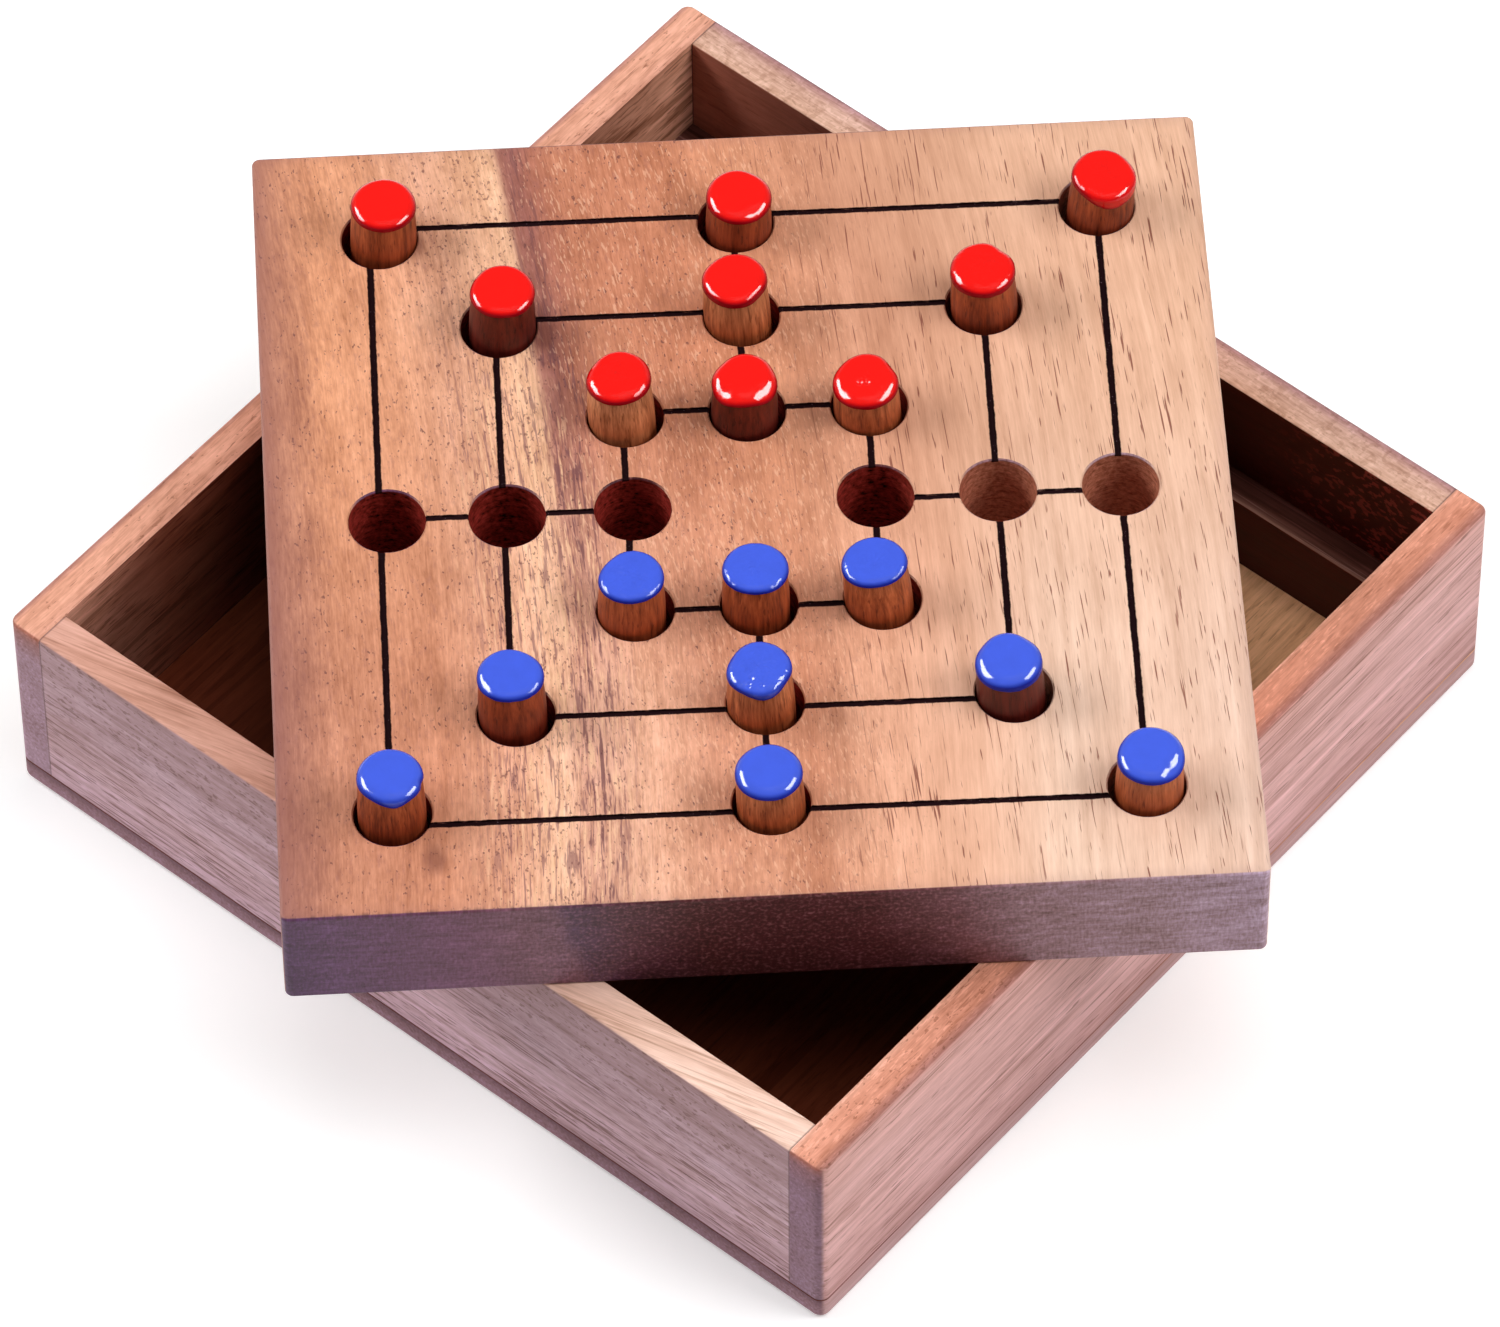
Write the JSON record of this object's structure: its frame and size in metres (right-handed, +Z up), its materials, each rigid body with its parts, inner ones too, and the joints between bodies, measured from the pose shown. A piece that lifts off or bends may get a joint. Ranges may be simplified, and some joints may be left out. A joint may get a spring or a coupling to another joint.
{
  "type": "nine men's morris box",
  "caption": "Square wooden morris game box: an open tray and a loose drilled board that is its lid, with red and blue tipped pegs standing in its holes.",
  "frame": {"origin": "middle of the tray's underside, on the table", "axes": "+Z up; +X along the tray's full-length rails, towards the right wall; +Y towards the back rail"},
  "size_m": [0.1918, 0.1918, 0.0634],
  "materials": {
    "board_wood": "fine-sanded, satin oiled",
    "rail_wood": "fine-sanded, satin oiled",
    "wall_wood": "fine-sanded, satin oiled",
    "floor_wood": "fine-sanded, satin oiled",
    "ledge_wood": "planed, satin oiled",
    "peg_wood": "turned, satin oiled",
    "red_enamel": "dipped gloss enamel",
    "blue_enamel": "dipped gloss enamel"
  },
  "bodies": {
    "tray": {"bottom_board": "floor_wood", "front_rail": "rail_wood", "back_rail": "rail_wood", "left_wall": "wall_wood", "right_wall": "wall_wood", "left_ledge": "ledge_wood", "right_ledge": "ledge_wood"},
    "board": {"board_lid": "board_wood"},
    "red_outer_left": {"red_peg_outer_left": "peg_wood", "red_enamel_outer_left": "red_enamel"},
    "red_outer_centre": {"red_peg_outer_centre": "peg_wood", "red_enamel_outer_centre": "red_enamel"},
    "red_outer_right": {"red_peg_outer_right": "peg_wood", "red_enamel_outer_right": "red_enamel"},
    "red_middle_left": {"red_peg_middle_left": "peg_wood", "red_enamel_middle_left": "red_enamel"},
    "red_middle_centre": {"red_peg_middle_centre": "peg_wood", "red_enamel_middle_centre": "red_enamel"},
    "red_middle_right": {"red_peg_middle_right": "peg_wood", "red_enamel_middle_right": "red_enamel"},
    "red_inner_left": {"red_peg_inner_left": "peg_wood", "red_enamel_inner_left": "red_enamel"},
    "red_inner_centre": {"red_peg_inner_centre": "peg_wood", "red_enamel_inner_centre": "red_enamel"},
    "red_inner_right": {"red_peg_inner_right": "peg_wood", "red_enamel_inner_right": "red_enamel"},
    "blue_inner_left": {"blue_peg_inner_left": "peg_wood", "blue_enamel_inner_left": "blue_enamel"},
    "blue_inner_centre": {"blue_peg_inner_centre": "peg_wood", "blue_enamel_inner_centre": "blue_enamel"},
    "blue_inner_right": {"blue_peg_inner_right": "peg_wood", "blue_enamel_inner_right": "blue_enamel"},
    "blue_middle_left": {"blue_peg_middle_left": "peg_wood", "blue_enamel_middle_left": "blue_enamel"},
    "blue_middle_centre": {"blue_peg_middle_centre": "peg_wood", "blue_enamel_middle_centre": "blue_enamel"},
    "blue_middle_right": {"blue_peg_middle_right": "peg_wood", "blue_enamel_middle_right": "blue_enamel"},
    "blue_outer_left": {"blue_peg_outer_left": "peg_wood", "blue_enamel_outer_left": "blue_enamel"},
    "blue_outer_centre": {"blue_peg_outer_centre": "peg_wood", "blue_enamel_outer_centre": "blue_enamel"},
    "blue_outer_right": {"blue_peg_outer_right": "peg_wood", "blue_enamel_outer_right": "blue_enamel"}
  },
  "joints": [
    {"name": "board_lift", "type": "slide", "parent": "tray", "child": "board", "axis": [0, 0, 1], "range_m": [0, 0.08]},
    {"name": "pull_red_outer_left", "type": "slide", "parent": "board", "child": "red_outer_left", "axis": [0.031, -0.0073, 0.9995], "range_m": [0, 0.03]},
    {"name": "pull_red_outer_centre", "type": "slide", "parent": "board", "child": "red_outer_centre", "axis": [-0.0196, -0.0243, 0.9995], "range_m": [0, 0.03]},
    {"name": "pull_red_outer_right", "type": "slide", "parent": "board", "child": "red_outer_right", "axis": [0.0214, -0.0553, 0.9982], "range_m": [0, 0.03]},
    {"name": "pull_red_middle_left", "type": "slide", "parent": "board", "child": "red_middle_left", "axis": [0.0086, -0.0222, 0.9997], "range_m": [0, 0.03]},
    {"name": "pull_red_middle_centre", "type": "slide", "parent": "board", "child": "red_middle_centre", "axis": [-0.0172, 0.0443, 0.9989], "range_m": [0, 0.03]},
    {"name": "pull_red_middle_right", "type": "slide", "parent": "board", "child": "red_middle_right", "axis": [-0.0208, 0.0288, 0.9994], "range_m": [0, 0.03]},
    {"name": "pull_red_inner_left", "type": "slide", "parent": "board", "child": "red_inner_left", "axis": [-0.0137, 0.0535, 0.9985], "range_m": [0, 0.03]},
    {"name": "pull_red_inner_centre", "type": "slide", "parent": "board", "child": "red_inner_centre", "axis": [-0.029, -0.0271, 0.9992], "range_m": [0, 0.03]},
    {"name": "pull_red_inner_right", "type": "slide", "parent": "board", "child": "red_inner_right", "axis": [-0.0685, 0.0024, 0.9977], "range_m": [0, 0.03]},
    {"name": "pull_blue_inner_left", "type": "slide", "parent": "board", "child": "blue_inner_left", "axis": [-0.0095, -0.0028, 1], "range_m": [0, 0.03]},
    {"name": "pull_blue_inner_centre", "type": "slide", "parent": "board", "child": "blue_inner_centre", "axis": [0.0164, 0.0213, 0.9996], "range_m": [0, 0.03]},
    {"name": "pull_blue_inner_right", "type": "slide", "parent": "board", "child": "blue_inner_right", "axis": [-0.0444, 0.0669, 0.9968], "range_m": [0, 0.03]},
    {"name": "pull_blue_middle_left", "type": "slide", "parent": "board", "child": "blue_middle_left", "axis": [0.0073, 0.031, 0.9995], "range_m": [0, 0.03]},
    {"name": "pull_blue_middle_centre", "type": "slide", "parent": "board", "child": "blue_middle_centre", "axis": [-0.0208, 0.0288, 0.9994], "range_m": [0, 0.03]},
    {"name": "pull_blue_middle_right", "type": "slide", "parent": "board", "child": "blue_middle_right", "axis": [-0.0485, 0.0391, 0.9981], "range_m": [0, 0.03]},
    {"name": "pull_blue_outer_left", "type": "slide", "parent": "board", "child": "blue_outer_left", "axis": [0.0164, 0.0213, 0.9996], "range_m": [0, 0.03]},
    {"name": "pull_blue_outer_centre", "type": "slide", "parent": "board", "child": "blue_outer_centre", "axis": [-0.0303, 0.026, 0.9992], "range_m": [0, 0.03]},
    {"name": "pull_blue_outer_right", "type": "slide", "parent": "board", "child": "blue_outer_right", "axis": [-0.0067, -0.0123, 0.9999], "range_m": [0, 0.03]}
  ]
}
